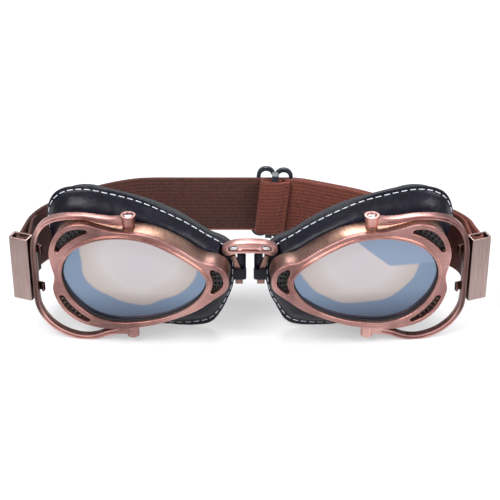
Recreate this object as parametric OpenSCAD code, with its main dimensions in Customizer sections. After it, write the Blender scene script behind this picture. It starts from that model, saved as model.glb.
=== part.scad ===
// Riding goggles: two copper eye cups on a pinned bridge, each with a strap bail,
// a strap clasp, a stitched face pad and a vented front plate.
// Millimetres, +Z up, +Y towards the wearer. The goggles stand on their bails,
// and the origin lies on that surface, at the middle of the object's width and depth.

/* [Eye cups] */
// Distance between the nose ends of the two front outlines
nose_gap = 15.63; // [15.4:0.01:20]
// Sweep of each cup towards the temple, in degrees
cup_yaw = 6; // [4.5:0.5:7]
// Width of one front plate
cup_width = 70; // [68:0.5:71]
// Height of one front plate
cup_height = 46.8; // [44:0.2:47]
// Thickness of the front plate
plate_t = 2; // [1.4:0.1:2.6]
// Distance from the back of the front plate to the bail's pivot axis
plate_to_axis = 2.5; // [2.4:0.1:3.2]
// Height of the raised lip round the lens opening
lip_rise = 0.8; // [0.4:0.1:1.2]
// Width of the raised lip
lip_w = 1.1; // [0.8:0.1:1.5]
// Depth of the side wall behind the front plate
wall_depth = 8; // [7.5:0.1:8.5]
// Thickness of the side wall
wall_t = 1; // [0.8:0.1:1.2]
// Step from the edge of the front plate in to the side wall
wall_inset = 0.3; // [0.2:0.1:0.5]

/* [Lens and seals] */
// Width that the lens reaches past its opening all round
lens_lap = 0.8; // [0.6:0.1:0.9]
// Thickness of the lens at its edge
lens_t = 1.8; // [1.4:0.1:2.2]
// Height of the lens's bulge towards the front
lens_bulge = 1.3; // [0.6:0.1:1.8]
// Depth of the lens recess in the back of the front plate
recess_d = 1.2; // [0.9:0.1:1.3]
// Thickness of the rubber gasket in front of the lens
gasket_t = 0.5; // [0.4:0.05:0.7]
// Width of the gasket that shows inside the opening
gasket_show = 0.5; // [0.2:0.1:0.8]
// Thickness of the rim and the shelf that hold the lens
rim_t = 1; // [0.8:0.1:1.2]

/* [Vents] */
// Metal left between a large vent slot and the plate's edge
vent_edge = 2; // [1.8:0.1:2.3]
// Metal left between the lower vent slot and the plate's edge
low_vent_edge = 1.4; // [1.3:0.1:1.6]
// Metal left between the upper vent slot and the lens opening
vent_to_lens = 3.7; // [3.4:0.1:4]
// Metal left between the lower vent slot and the lens opening
low_vent_to_lens = 2.5; // [2.3:0.1:2.7]
// Metal left between the nose vent slot and the lens opening
nose_vent_to_lens = 2.3; // [2.1:0.1:2.5]
// Radius of the rounded ends of a vent slot
vent_round = 0.9; // [0.6:0.05:1]
// Thickness of the perforated screen behind the slots
screen_t = 0.6; // [0.4:0.1:0.9]
// Radius of a hole in the screen
screen_hole_r = 0.55; // [0.4:0.05:0.6]

/* [Strap bails] */
// Distance from the front plate's temple edge to the middle of the bail's upright side
bail_beside = 7; // [6.5:0.1:9]
// Height of the bail's top bar above the top of the front plate
bail_over = 1.4; // [1.3:0.1:2.3]
// Drop of the bail's lower bar below the bottom of the front plate
bail_under = 7.15; // [6.9:0.05:7.9]
// Thickness of the bail's bar in the plane of the loop
bar_t = 2; // [1.8:0.1:2.2]
// Depth of the bail's bar from front to back
bar_depth = 2.8; // [2.4:0.1:3]
// Depth of the groove along the bail's front
groove_depth = 0.45; // [0.2:0.05:0.7]
// Height of the flat foot ground on the lower bar
foot_flat = 0.15; // [0.1:0.05:0.3]

/* [Bail pivots] */
// Height of the barrel at each end of the bail
barrel_h = 4.6; // [4:0.1:4.8]
// Radius of the upper barrel at its open end
barrel_r = 2.9; // [2.7:0.05:3.1]
// Radius of the lower barrel, and of the upper one at its foot
barrel_foot_r = 2.4; // [2.2:0.05:2.5]
// Radius of the bore through a barrel
barrel_bore_r = 1.3; // [1.2:0.05:1.5]
// Running clearance between a pivot screw and its barrel, on the radius
pivot_clear = 0.05; // [0.03:0.01:0.09]
// Radius of a pivot screw's head
screw_head_r = 1.8; // [1.7:0.05:1.9]
// Height of the boss on the cup's wall under a barrel
boss_h = 1.2; // [1:0.1:1.4]
// Radius of the threaded hole in a boss
thread_r = 1; // [0.8:0.05:1.05]

/* [Strap clasps] */
// Height of a clasp
clasp_h = 27.8; // [27:0.1:29]
// Width of a clasp's box
clasp_w = 8; // [7.8:0.1:9]
// Depth of a clasp's box
clasp_d = 5; // [4.8:0.1:5.6]
// Thickness of the clasp's sheet metal
sheet_t = 0.7; // [0.6:0.05:0.75]
// Turn of a clasp against its bail at rest, in degrees
clasp_yaw = 15; // [12:1:17]

/* [Strap] */
// Width of the elastic webbing
web_w = 25; // [20:0.5:25.5]
// Thickness of the webbing
web_t = 1.2; // [1:0.1:1.3]
// Distance of the strap's back run behind the pivot axes
strap_back = 55.5; // [52:0.5:60]
// Place of the slider along the back run
slider_x = 9.2; // [4:0.2:10]
// Lean of the slider in the plane of the strap, in degrees
slider_lean = 5.5; // [0:0.5:6]
// Length by which each slider ring stands out past the webbing
ring_over = 4.1; // [3.8:0.1:4.6]
// Thickness of a slider bar seen from the front
ring_t = 1.7; // [1.6:0.1:2]

/* [Face pads] */
// Depth of the stitched leather pad behind the cup's wall
pad_depth = 11; // [10.5:0.1:12]
// Depth of the foam behind the pad
foam_depth = 5.5; // [4:0.1:8]
// Extra depth of the pads towards the temple, per millimetre of width
face_slope = 0.06; // [0.04:0.01:0.07]
// Width of the pad in front of its inner edge
pad_inner = 2.6; // [2.2:0.1:3.2]

/* [Bridge] */
// Half of the bridge link's width
link_half = 10.9; // [10.7:0.1:11.1]
// Depth of the bridge link from front to back
link_d = 3.8; // [3.4:0.1:4]
// Distance of each hinge pin from the middle of the bridge
pin_x = 5.4; // [5.3:0.05:5.5]
// Radius of a hinge pin
pin_r = 0.5; // [0.4:0.05:0.6]
// Width of a nose bar
nose_bar_w = 2; // [1.7:0.1:2.1]
// Thickness of a nose bar
nose_bar_t = 0.7; // [0.5:0.05:0.8]
// Thickness of the leather of a nose loop
loop_t = 0.7; // [0.5:0.05:0.75]
// Height of the band in front of the nose bar
loop_band = 4.5; // [4:0.1:5]

/* [Hidden] */
$fn = 48;
copper = "#B5807A";
wall_copper = "#D8AE90";
leather = "#22242C";
web_dark = "#4A2823";
web_light = "#7B3D2E";
steel = "#D5D8DC";

// Front outline of a cup, seen from the front with the temple to the right. The two
// points on the pivot axis carry the bosses.
axis_top = 20.5;
axis_low = -22.9;
outline_pts = [
    [-39, 0.6], [-37.6, 5.6], [-33.6, 8.1], [-28.2, 9.3], [-20.4, 14.3], [-12, 18.4], [-5, 20.1],
    [0, axis_top], [6, 20.8], [12, 22], [18.3, 23.2], [24.6, 21.4], [29, 16.4], [31, 10],
    [30.6, 4.5], [29.5, -1], [30.4, -6.2], [29.4, -11], [26.2, -16.9], [20.6, -21.4], [12.5, -23.6],
    [5, -23.5], [0, axis_low], [-9, -20.9], [-18, -17.2], [-26.5, -12.8], [-33.2, -7.3], [-37.6, -3.4]];
function span(v) = max(v) - min(v);
outline_w = span([for (p = outline_pts) p.x]);
outline_h = span([for (p = outline_pts) p.y]);
// Outer edge of the face pad, one point for each point of the front outline
pad_pts = [
    [-39.7, -1.5], [-38.8, 4.6], [-35.2, 9], [-29.2, 12.4], [-21.8, 17], [-13.6, 21.3], [-6, 24.9],
    [0, 27.2], [5.6, 28.8], [11.6, 29.9], [18.5, 30.9], [26.3, 30.1], [32, 26.4], [34.8, 19.6],
    [34.2, 11], [32.8, 2], [32.2, -7], [31.2, -14.6], [28, -22.2], [21.6, -27.4], [13.4, -29.9],
    [6, -30.8], [0, -31.1], [-9.5, -31.3], [-20, -31.3], [-29.6, -29.4], [-34.8, -21.4], [-38.6, -11.5]];
// Lens opening in the front plate
opening_pts = [
    [-30.5, -0.2], [-28.4, 4.9], [-23, 9.2], [-16, 13.4], [-8, 16.9], [1, 18.2], [10, 17.2],
    [18, 14.1], [24, 8.6], [26.4, 1.6], [25.2, -5.6], [21.4, -12.1], [15, -17.6], [6.5, -20.1],
    [-2, -19.6], [-11, -17.5], [-20, -13.4], [-27, -7.4]];

// A point on the smooth curve from b to c
function curve(a, b, c, d, t) =
    0.5 * (2 * b + (c - a) * t + (2 * a - 5 * b + 4 * c - d) * t * t + (3 * b - a - 3 * c + d) * t * t * t);
// A closed smooth curve through pts, with n steps between two points
function ring(pts, n) = let (m = len(pts))
    [for (i = [0:m - 1], k = [0:n - 1])
        curve(pts[(i + m - 1) % m], pts[i], pts[(i + 1) % m], pts[(i + 2) % m], k / n)];
// An open smooth curve through pts
function path(pts, n) = let (m = len(pts) - 1)
    concat([for (i = [0:m - 1], k = [0:n - 1])
        curve(pts[max(i - 1, 0)], pts[i], pts[i + 1], pts[min(i + 2, m)], k / n)], [pts[m]]);
function unit(v) = v / norm(v);
// A closed outline moved outwards by d. The outlines run clockwise.
function grow(pts, d) = let (m = len(pts))
    [for (i = [0:m - 1]) let (t = unit(pts[(i + 1) % m] - pts[(i + m - 1) % m])) pts[i] + d * [-t.y, t.x]];
// Both sides of an open path of points and widths, as one outline
function band(pts, share = 1) = let (
    m = len(pts) - 1,
    side = [for (i = [0:m]) let (
        a = pts[max(i - 1, 0)], b = pts[min(i + 1, m)],
        t = unit([b.x - a.x, b.y - a.y])) share * pts[i].z / 2 * [-t.y, t.x]])
    concat([for (i = [0:m]) [pts[i].x, pts[i].y] + side[i]],
        [for (i = [m:-1:0]) [pts[i].x, pts[i].y] - side[i]]);
function stretch(pts) = [for (p = pts) [p.x * cup_width / outline_w, p.y * cup_height / outline_h]];

plate_pts = stretch(outline_pts);
bail_reach = max([for (p = plate_pts) p.x]) + bail_beside;
bail_rise = max([for (p = plate_pts) p.y]) + bail_over;
bail_drop = bail_under - min([for (p = plate_pts) p.y]);
// Heights are measured from the middle of the cup, which stands this far above the floor
mid_z = bail_drop + bar_t / 2 - foot_flat;

outline = ring(plate_pts, 3);
opening = ring(stretch(opening_pts), 4);
nose_x = -plate_pts[0].x;
pivot_spacing = nose_gap + 2 * nose_x * cos(cup_yaw);

// Depths from front to back, measured from the pivot axis
plate_back = -plate_to_axis;
plate_front = plate_back - plate_t;
wall_back = plate_back + wall_depth;
lens_front = plate_back - recess_d + gasket_t;
lens_back = lens_front + lens_t;
pad_back = wall_back + pad_depth;
fit_clear = 0.1;
soft_clear = 0.3;
seat = lens_lap + fit_clear;

// The slider's bars lie behind the webbing
bar_y = strap_back + web_t / 2 + soft_clear;
ring_depth = 1.5;
slider_back = bar_y + ring_depth;
front_y = -nose_x * sin(cup_yaw) + plate_front * cos(cup_yaw);
mid_y = (front_y + slider_back) / 2;

// Places in the cup's own frame: x towards the temple, y backwards, z up
module in_row(side) translate([0, -mid_y, mid_z]) mirror([side < 0 ? 1 : 0, 0, 0]) children();
module at_cup(side) in_row(side) translate([pivot_spacing / 2, 0, 0]) rotate([0, 0, cup_yaw]) children();
// A flat shape drawn in the front view, thick from depth y0 to depth y1
module slab(y0, y1) translate([0, y1, 0]) rotate([90, 0, 0]) linear_extrude(y1 - y0) children();
module frame_2d(outer, inner) difference() {
    polygon(outer);
    polygon(inner);
}
// A closed tube through rings of equal length, the last joined to the first
module tube(rings) {
    n = len(rings[0]);
    m = len(rings);
    polyhedron(
        points = [for (r = rings) each r],
        faces = [for (j = [0:m - 1], i = [0:n - 1]) let (
            k = (i + 1) % n, a = j * n, b = ((j + 1) % m) * n)
            each [[a + i, b + k, a + k], [a + i, b + i, b + k]]]);
}

// Front plate: die-cast, with the raised lip and three crescent vents
module vent_2d(edge, to_lens, window_min, window_max) offset(r = vent_round, $fn = 24) offset(delta = -vent_round)
    intersection() {
        frame_2d(grow(outline, -edge), grow(opening, to_lens));
        translate(window_min) square(window_max - window_min);
    }
vent_top = stretch([[15.2, 9.6], [40, 30]]);
vent_low = stretch([[14.8, -30], [40, -9.2]]);
vent_nose = stretch([[-45, -12], [-31.8, 12]]);
module vents_2d() {
    vent_2d(vent_edge, vent_to_lens, vent_top[0], vent_top[1]);
    vent_2d(low_vent_edge, low_vent_to_lens, vent_low[0], vent_low[1]);
    vent_2d(vent_edge, nose_vent_to_lens, vent_nose[0], vent_nose[1]);
}
module bezel(side) at_cup(side) color(copper) difference() {
    union() {
        slab(plate_front, plate_back) polygon(outline);
        slab(plate_front - lip_rise, plate_back) polygon(grow(opening, lip_w));
    }
    slab(plate_front - lip_rise - 1, plate_back + 1) polygon(opening);
    slab(plate_back - recess_d, plate_back + 1) polygon(grow(opening, seat));
    slab(plate_front - 1, plate_back + 1) vents_2d();
}

// Side wall: a shell with the lens seat, a rear flange for the pad and two pivot bosses
recess_x = -33.8 * cup_width / outline_w;
wall_top = axis_top * cup_height / outline_h - wall_inset;
wall_low = -axis_low * cup_height / outline_h - wall_inset;
boss_r = 2.2;
// A shape drawn along +Z from the pivot axis at the wall, at the top or the bottom
module on_pivot(up) rotate([up ? 0 : 180, 0, 0]) translate([0, 0, up ? wall_top : wall_low]) children();
module cup_wall(side) at_cup(side) color(wall_copper) difference() {
    union() {
        slab(plate_back, wall_back) frame_2d(grow(outline, -wall_inset), grow(outline, -wall_inset - wall_t));
        slab(wall_back - wall_t, wall_back) {
            frame_2d(grow(outline, -wall_inset), grow(outline, -wall_inset - pad_inner));
            intersection() {
                polygon(grow(outline, -wall_inset));
                translate([-2 * nose_x + recess_x + pad_inner + 1, -nose_x]) square(2 * nose_x);
            }
        }
        slab(plate_back, lens_back + rim_t) frame_2d(grow(opening, seat + rim_t), grow(opening, seat));
        slab(lens_back, lens_back + rim_t) frame_2d(grow(opening, seat + rim_t), grow(opening, -gasket_show));
        slab(lens_back, lens_back + rim_t) intersection() {
            frame_2d(grow(outline, -wall_inset), grow(opening, seat));
            for (w = ribs) translate(w) square([rib_w, rib_w + 40], center = true);
        }
        for (up = [true, false]) on_pivot(up) translate([0, 0, -wall_t]) cylinder(r = boss_r, h = wall_t + boss_h);
    }
    for (up = [true, false])
        on_pivot(up) translate([0, 0, -wall_t - 1]) cylinder(r = thread_r, h = boss_h + wall_t + 2);
}
// Ribs that carry the lens seat inside the wall
ribs = stretch([[-22, 0], [0, 0], [18, 0]]);
rib_w = 2.4;

// Lens: a dished mirror lens with a flat rim
lens_centre = stretch([[-2, -0.9]])[0];
function lens_ring(share, y) = [for (p = grow(opening, lens_lap))
    let (q = lens_centre + share * (p - lens_centre)) [q.x, y, q.y]];
module lens(side) at_cup(side) color("#8C9DB5") {
    bulge = [[1, 0], [0.91, 0], [0.78, 0.42], [0.6, 0.74], [0.35, 0.94], [0.12, 1]];
    rings = concat([lens_ring(1, lens_back)], [for (b = bulge) lens_ring(b[0], lens_front - b[1] * lens_bulge)]);
    n = len(rings[0]);
    m = len(rings);
    polyhedron(
        points = [for (r = rings) each r],
        faces = concat(
            [for (j = [0:m - 2], i = [0:n - 1]) let (k = (i + 1) % n, a = j * n, b = a + n)
                each [[a + i, b + k, a + k], [a + i, b + i, b + k]]],
            [[for (i = [0:n - 1]) i], [for (i = [n - 1:-1:0]) (m - 1) * n + i]]));
}

// Gasket: a flat rubber ring between the front plate and the lens
module gasket(side) at_cup(side) color("#15161A")
    slab(plate_back - recess_d, lens_front) frame_2d(grow(opening, lens_lap), grow(opening, -gasket_show));

// Vent screen: perforated sheet behind each slot
screen_lap = 1;
hole_rows = [3.3, 4.7, 6.1];
module screen_2d() intersection() {
    offset(delta = screen_lap) vents_2d();
    frame_2d(grow(outline, -wall_inset - wall_t - fit_clear), grow(opening, seat + rim_t + fit_clear));
}
hole_edge = 0.6;
function within(v, a, b) = v > a + hole_edge && v < b - hole_edge;
function in_window(p, w) = within(p.x, w[0].x, w[1].x) && within(p.y, w[0].y, w[1].y);
module vent_screen(side) at_cup(side) color("#2B2A2E") slab(plate_back, plate_back + screen_t) difference() {
    screen_2d();
    for (row = hole_rows, p = grow(ring(stretch(opening_pts), 5), row), w = [vent_top, vent_low, vent_nose])
        if (in_window(p, w)) translate(p) circle(r = screen_hole_r, $fn = 6);
}

// Pivot screws: slotted shoulder screws, one above and one below
head_t = 0.9;
head_sink = 1.45;
barrel_gap = 0.3;
shoulder = boss_h + barrel_gap + barrel_h - head_sink + pivot_clear;
module pivot_screws(side) at_cup(side) color(steel) for (up = [true, false]) on_pivot(up) difference() {
    union() {
        translate([0, 0, -wall_t + 0.2]) cylinder(r = thread_r - 0.02, h = wall_t + boss_h - 0.2);
        translate([0, 0, boss_h]) cylinder(r = barrel_bore_r - pivot_clear, h = shoulder - boss_h);
        translate([0, 0, shoulder]) cylinder(r = screw_head_r, h = head_t);
    }
    translate([-3, -0.25, shoulder + head_t - 0.45]) cube([6, 0.5, 1]);
}

// Strap bail: a grooved bar that loops round the temple between two barrels
bail_path = path([
    [1, wall_top + boss_h + barrel_gap + barrel_h / 2, 1.5 * bar_t],
    [6, bail_rise - 1.15, 1.35 * bar_t],
    [0.28 * bail_reach, bail_rise - 0.85, 1.1 * bar_t],
    [0.39 * bail_reach, bail_rise - 0.25, 0.95 * bar_t],
    [0.5 * bail_reach, bail_rise, 0.92 * bar_t],
    [0.66 * bail_reach, bail_rise - 0.5, 0.96 * bar_t],
    [0.8 * bail_reach, bail_rise - 2.1, bar_t],
    [0.905 * bail_reach, bail_rise - 5.3, bar_t],
    [0.975 * bail_reach, bail_rise - 10.2, bar_t],
    [bail_reach, bail_rise - 16, bar_t],
    [bail_reach, 0, bar_t],
    [bail_reach, 18 - bail_drop, bar_t],
    [0.975 * bail_reach, 12.4 - bail_drop, bar_t],
    [0.9 * bail_reach, 7.2 - bail_drop, bar_t],
    [0.79 * bail_reach, 3.3 - bail_drop, bar_t],
    [0.66 * bail_reach, 0.9 - bail_drop, bar_t],
    [0.52 * bail_reach, -bail_drop, bar_t],
    [0.39 * bail_reach, 0.8 - bail_drop, bar_t],
    [0.275 * bail_reach, 2.6 - bail_drop, 1.1 * bar_t],
    [6, 3.9 - bail_drop, 1.3 * bar_t],
    [1, -wall_low - boss_h - barrel_gap - barrel_h / 2, 1.4 * bar_t]], 4);
// The groove ends short of the barrels
groove_path = [for (i = [4:len(bail_path) - 5]) bail_path[i]];
groove_w = 0.3;
module bail(side) at_cup(side) color(copper) difference() {
    union() {
        slab(-bar_depth / 2, bar_depth / 2) polygon(band(bail_path));
        for (up = [true, false]) on_pivot(up) translate([0, 0, boss_h + barrel_gap])
            cylinder(r1 = barrel_foot_r, r2 = up ? barrel_r : barrel_foot_r, h = barrel_h);
    }
    slab(-bar_depth / 2 - 1, groove_depth - bar_depth / 2) polygon(band(groove_path, groove_w));
    for (up = [true, false]) on_pivot(up) {
        cylinder(r = barrel_bore_r, h = 12);
        translate([0, 0, boss_h + barrel_gap + barrel_h - head_sink]) cylinder(r = screw_head_r + 0.15, h = 4);
    }
    translate([0, -10, -mid_z - 10]) cube([60, 20, 10]);
}

// Strap clasp: a folded sheet box beside the bail, with two tabs that hook round its upright
// side. Its back has two slots for the webbing.
clasp_mid = -0.7;
slot_z = 0.7;
hook_gap = 1.65;
hook_back = 2;
hook_h = 3.6;
hook_tip = 1;
hook_z = 8.6;
box_x0 = hook_gap;
box_y0 = -2;
box_back = box_y0 + clasp_d;
slot_w = web_t + 0.6;
slot_bar = 1.8;
slot_mid = box_x0 + clasp_w / 2;
slot_in = slot_mid - slot_bar / 2 - slot_w / 2;
slot_out = slot_mid + slot_bar / 2 + slot_w / 2;
module at_clasp(side) at_cup(side) translate([bail_reach, 0, clasp_mid]) rotate([0, 0, clasp_yaw]) children();
module clasp(side) at_clasp(side) color("#B09A90") difference() {
    union() {
        linear_extrude(clasp_h, center = true) difference() {
            translate([box_x0, box_y0]) offset(r = 0.6) offset(delta = -0.6) square([clasp_w, clasp_d]);
            translate([box_x0 + sheet_t, box_y0 + sheet_t]) square([clasp_w - 2 * sheet_t, clasp_d - 2 * sheet_t]);
        }
        for (z = [-1, 1]) translate([0, 0, z * hook_z]) linear_extrude(hook_h, center = true) {
            translate([-hook_gap - sheet_t, hook_back]) square([2 * hook_gap + 1.5 * sheet_t, sheet_t]);
            translate([-hook_gap - sheet_t, hook_tip]) square([sheet_t, hook_back + sheet_t - hook_tip]);
        }
    }
    for (x = [slot_in, slot_out]) translate([x, box_back, slot_z])
        cube([slot_w, 4 * sheet_t, web_w + 0.4], center = true);
}

// Elastic strap, drawn from above and extruded to its width. Its folds pass through the
// clasps' slots and round the bar between them.
function turned(p, a) = [p.x * cos(a) - p.y * sin(a), p.x * sin(a) + p.y * cos(a)];
function from_clasp(p) = turned([bail_reach, 0] + turned(p, clasp_yaw), cup_yaw) + [pivot_spacing / 2, 0];
fold_y = box_back - sheet_t - 0.5 - web_t;
fold = [for (p = [
    [slot_in, box_back + 1], [slot_in, box_back - 1.2], [slot_in + 0.5, fold_y + 0.35], [slot_mid, fold_y],
    [slot_out - 0.5, fold_y + 0.35], [slot_out, box_back - 1.2], [slot_out, box_back + 1]]) from_clasp(p)];
side = from_clasp([slot_out, box_back]);
// A point of the strap's run: shares of the width and of the depth from the clasp backwards
function run_at(u, v) = [u * side.x, side.y + v * (strap_back - side.y)];
layer_gap = web_t + soft_clear;
// A path beside another one, far from it at its start and close to it further on
function beside(pts, start, rest, n) = let (m = len(pts) - 1)
    [for (i = [0:m]) let (t = unit(pts[min(i + 1, m)] - pts[max(i - 1, 0)]))
        pts[i] + (rest + (start - rest) * max(0, 1 - i / n)) * [-t.y, t.x]];
// The webbing is cut here, behind the sewn end
seam_x = 17;
inner_end = 14.6;
left_run = path([
    fold[6], run_at(0.986, 0.141), run_at(0.971, 0.293), run_at(0.934, 0.446), run_at(0.867, 0.598),
    run_at(0.768, 0.761), run_at(0.646, 0.902), run_at(0.535, 0.98), run_at(0.447, 1), run_at(0.336, 1)], 4);
right_run = path([
    fold[6], run_at(0.983, 0.12), run_at(0.96, 0.272), run_at(0.889, 0.435), run_at(0.757, 0.554),
    run_at(0.602, 0.667), run_at(0.469, 0.804), run_at(0.325, 0.922), run_at(0.248, 0.98),
    [seam_x + 1, strap_back]], 4);
tail_n = 9;
function backwards(pts) = [for (i = [len(pts) - 1:-1:0]) pts[i]];
module web_2d(pts) polygon(band([for (p = pts) [p.x, p.y, web_t]]));
module strap_left() in_row(-1) color(web_dark) linear_extrude(web_w, center = true) {
    tail = beside(left_run, slot_bar + slot_w, layer_gap, 7);
    web_2d(concat(backwards([for (i = [2:tail_n]) tail[i]]), path(fold, 3),
        [for (i = [1:len(left_run) - 1]) left_run[i]], [[0.5 - seam_x, strap_back]]));
}
module strap_right() in_row(1) color(web_dark) linear_extrude(web_w, center = true) {
    inner = beside(right_run, slot_bar + slot_w, layer_gap, 9);
    web_2d(concat([[inner_end, loop_y]], backwards([for (i = [2:len(inner) - 1]) inner[i]]),
        path(fold, 3), [for (i = [1:len(right_run) - 1]) right_run[i]]));
}

// Sewn end: the inner layer of the strap, folded round the slider's middle bar
loop_y = strap_back - layer_gap;
bar_mid = 2.8;
bar_t_y = 1;
fold_gap = 0.25;
mid_bar_y = loop_y - web_t / 2 - fold_gap - bar_t_y / 2;
front_layer = mid_bar_y - bar_t_y / 2 - fold_gap - web_t / 2;
fold_x = -5.5;
module at_slider() in_row(1) translate([slider_x, 0, 0]) rotate([0, slider_lean, 0]) children();
front_tail = loop_y - web_t - soft_clear;
module strap_sewn_end() color(web_light) at_slider() linear_extrude(web_w, center = true) web_2d(path([
    [3, loop_y], [1.5, loop_y], [-3.5, loop_y], [fold_x + 0.5, loop_y - 0.25], [fold_x, mid_bar_y],
    [fold_x + 0.5, front_layer + 0.25], [-3.5, front_layer], [0.8, front_layer], [2.4, front_layer + 0.2],
    [4, front_tail - 0.15], [5, front_tail], [6.4, front_tail]], 3));

// Slider: two oval rings side by side, joined in front of the strap by a middle bar
ring_half = web_w / 2 + ring_over;
window_w = 4.5;
cap_z = web_w / 2 + 1.1;
leg_h = 1.3;
module ring_2d() difference() {
    for (x = [-1, 1]) translate([x * (window_w + bar_mid) / 2, 0]) hull_2d(window_w / 2 + ring_t, ring_half);
    for (x = [-1, 1]) translate([x * (window_w + bar_mid) / 2, 0]) hull_2d(window_w / 2, ring_half - ring_t);
}
// An upright oval with half width r and half height h
module hull_2d(r, h) {
    square([2 * r, 2 * (h - r)], center = true);
    for (z = [-1, 1]) translate([0, z * (h - r)]) circle(r = r);
}
module strap_slider() at_slider() color("#2A2F36") {
    slab(bar_y, slider_back) difference() {
        ring_2d();
        square([bar_mid + 0.01, 2 * cap_z], center = true);
    }
    for (z = [-1, 1]) slab(mid_bar_y - bar_t_y / 2, bar_y)
        translate([0, z * (cap_z + leg_h / 2)]) square([bar_mid, leg_h], center = true);
    slab(mid_bar_y - bar_t_y / 2, mid_bar_y + bar_t_y / 2) square([bar_mid, 2 * (cap_z + leg_h)], center = true);
}

// Bridge: an arched copper link with a window, and an upright pin near each end
link_set = 8.48;
link_y = link_set - nose_x * sin(cup_yaw);
link_mid = 8;
link_half_pts = [
    [0, 3], [3.5, 2.9], [6.5, 2.5], [8.9, 1.6], [10.4, 0.7], [10.9, -0.3],
    [10.6, -1.5], [9.6, -2.5], [8.2, -2.6], [6.3, -1.9], [3.5, -1.6], [0, -1.6]];
window_half_pts = [
    [0, 0.7], [3, 0.75], [4.2, 1.5], [6.2, 1.8], [7.6, 1.5], [8.4, 0.9],
    [8.6, 0.2], [8.2, -0.6], [6.6, -0.9], [4, -0.8], [0, -0.8]];
function mirrored(pts) = concat(pts, [for (i = [len(pts) - 2:-1:1]) [-pts[i].x, pts[i].y]]);
link_w = 10.9;
function to_link(pts) = [for (p = pts) [p.x * link_half / link_w, p.y]];
bar_notch = [6.15, 8.75];
notch_top = 1.45;
pin_y = link_y + link_d / 2;
module at_bridge() translate([0, -mid_y, mid_z + link_mid]) children();
module bridge_link() at_bridge() color(copper) difference() {
    slab(link_y, link_y + link_d)
        frame_2d(ring(mirrored(to_link(link_half_pts)), 3), ring(mirrored(to_link(window_half_pts)), 3));
    for (x = [-1, 1]) {
        translate([x * (bar_notch[0] + bar_notch[1]) / 2, link_y + 0.9 + 5, notch_top - 5])
            cube([bar_notch[1] - bar_notch[0], 10, 10], center = true);
        translate([x * pin_x, pin_y, -3]) cylinder(r = pin_r, h = 5.2);
    }
}
module bridge_pins() at_bridge() color(steel) for (x = [-1, 1])
    translate([x * pin_x, pin_y, -1.75]) cylinder(r = pin_r, h = 3.9);

// Nose hinge: a steel knuckle on the bridge pin, with an arm riveted to the nose bar
knuckle_r = 0.95;
knuckle_low = -0.55;
knuckle_h = 1.6;
pin_clear = 0.05;
rivet_x = 7.4;
rivet_r = 0.8;
bar_front = link_y + 1.3;
module nose_hinge(side) in_row(side) translate([0, 0, link_mid]) color(steel) difference() {
    union() {
        translate([pin_x, pin_y, knuckle_low]) cylinder(r = knuckle_r, h = knuckle_h);
        translate([pin_x, bar_front - 0.7, knuckle_low]) cube([rivet_x - pin_x, 0.7, knuckle_h]);
        translate([rivet_x, bar_front, knuckle_low + knuckle_h / 2]) rotate([90, 0, 0]) {
            cylinder(r = rivet_r, h = 0.7);
            cylinder(r1 = rivet_r, r2 = 0.5 * rivet_r, h = 1.2);
        }
    }
    translate([pin_x, pin_y, knuckle_low - 1]) cylinder(r = pin_r + pin_clear, h = knuckle_h + 2);
}

// Nose bar: a copper strip that runs from the hinge down through the nose loop to a foot
bar_foot = [4.3, -7.9];
bar_bend = [4.4, -1.8];
bar_step = [6.75, 4.7];
foot_w = 3;
foot_h = 1.4;
strip_y = bar_front - 0.8;
bar_top = link_mid + knuckle_low + knuckle_h + 0.25;
module strip_2d(pts) polygon(band([for (p = pts) [p.x, p.y, nose_bar_w]]));
module nose_bar(side) in_row(side) color(wall_copper) {
    slab(strip_y, strip_y + nose_bar_t) {
        translate([bar_foot.x - foot_w / 2, bar_foot.y]) square([foot_w, foot_h]);
        strip_2d([bar_foot, bar_bend, bar_step]);
    }
    slab(strip_y, bar_front + nose_bar_t) strip_2d([bar_step - [0.36, 0.9], bar_step]);
    slab(bar_front, bar_front + nose_bar_t) strip_2d([bar_step - [0.36, 0.9], [rivet_x, link_mid - 1.6], [rivet_x, bar_top]]);
}

// Nose loop: a leather tab behind the nose bar with a band round its front
loop_low = -5.4;
loop_top = 5.2;
loop_back = strip_y + nose_bar_t + 0.35 + loop_t / 2;
loop_front = strip_y - 0.35 - loop_t / 2;
loop_in = 1.5 + loop_t / 2;
loop_tab = [[6.1, loop_back], [2.8, loop_back], [loop_in, (loop_front + loop_back) / 2 + 0.5]];
loop_round = [[loop_in, (loop_front + loop_back) / 2 - 0.4], [2.6, loop_front], [6.6, loop_front]];
module loop_2d(pts) polygon(band([for (p = path(pts, 4)) [p.x, p.y, loop_t]]));
module nose_loop(side) in_row(side) color(leather) {
    translate([0, 0, loop_low]) linear_extrude(loop_band) loop_2d(concat(loop_tab, loop_round));
    difference() {
        translate([0, 0, loop_low]) linear_extrude(loop_top - loop_low) loop_2d(loop_tab);
        translate([5, loop_back - 2, 3.4]) cube([4, 4, loop_top]);
    }
}

// Face pad: stitched leather over foam, with a raw seam flap round its edge. It is drawn
// in behind the upper nose corner, where the bridge link folds.
wall_ring = grow(outline, -wall_inset);
edge_ring = ring(stretch(pad_pts), 3);

function ramp(v, a, b) = min(1, max(0, (v - a) / (b - a)));
function nose_share(p) = let (x = p.x * outline_w / cup_width, z = p.y * outline_h / cup_height)
    ramp(x, -29, -34) * ramp(z, -4, 1.5) * ramp(z, 14, 10);
// Rings of the pad: share of the way to the flap's edge, depth, and how far it is drawn in
function pad_ring(share, y, draw = 0, slope = 0) = [for (i = [0:len(wall_ring) - 1]) let (
    p = wall_ring[i] + share * (edge_ring[i] - wall_ring[i]),
    n = nose_share(wall_ring[i]),
    x = p.x + draw * n * 0.96 * max(0, recess_x - p.x))
    [x, y + flap_push * n * (draw > 0 ? 0.4 : 1) * (slope > 0 || share == 0 ? 0 : 1) + slope * p.x, p.y]];
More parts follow.
